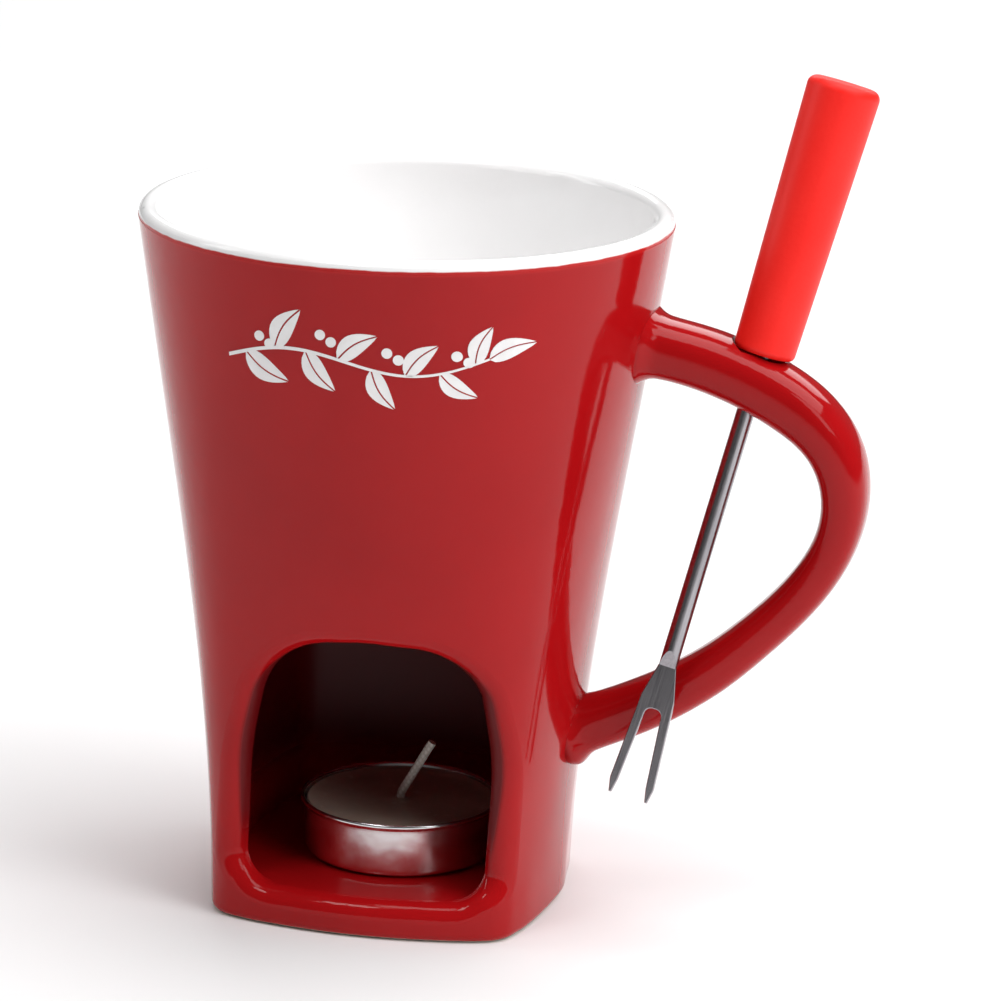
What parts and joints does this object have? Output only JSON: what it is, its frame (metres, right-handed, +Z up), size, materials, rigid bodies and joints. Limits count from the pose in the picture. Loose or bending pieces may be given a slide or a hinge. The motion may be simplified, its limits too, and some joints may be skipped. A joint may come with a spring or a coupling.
{
  "type": "fondue pot set",
  "caption": "Mug-shaped ceramic fondue pot with a tealight chamber under the bowl and a handle that holds its dipping fork.",
  "frame": {"origin": "on the table plane, on the axis of the mug, in the middle of its foot", "axes": "+Z up; the candle window faces -Y; the handle and the fork are on +X"},
  "size_m": [0.1373, 0.0988, 0.1592],
  "materials": {
    "red_glaze": "gloss",
    "white_glaze": "gloss",
    "steel": "polished",
    "grip_plastic": "matte",
    "cup_aluminium": "bright",
    "wax": "waxy",
    "wick_cotton": "braided cotton",
    "sustainer_tin": "satin"
  },
  "bodies": {
    "mug": {"mug_body": "red_glaze", "chamber_floor": "red_glaze", "bowl_lining": "white_glaze", "mug_handle": "red_glaze"},
    "fork": {"fork_steel": "steel", "fork_grip": "grip_plastic"},
    "tealight": {"tealight_cup": "cup_aluminium"},
    "candle": {"tealight_wax": "wax", "tealight_wick": "wick_cotton", "wick_sustainer": "sustainer_tin"}
  },
  "joints": [
    {"name": "fork_lift", "type": "slide", "parent": "mug", "child": "fork", "axis": [0.2269, 0.1653, 0.9598], "range_m": [0, 0.1]},
    {"name": "tealight_slide", "type": "slide", "parent": "mug", "child": "tealight", "axis": [0, -1, 0], "range_m": [0, 0.068]},
    {"name": "candle_lift", "type": "slide", "parent": "tealight", "child": "candle", "axis": [0, 0, 1], "range_m": [0, 0.015]}
  ]
}
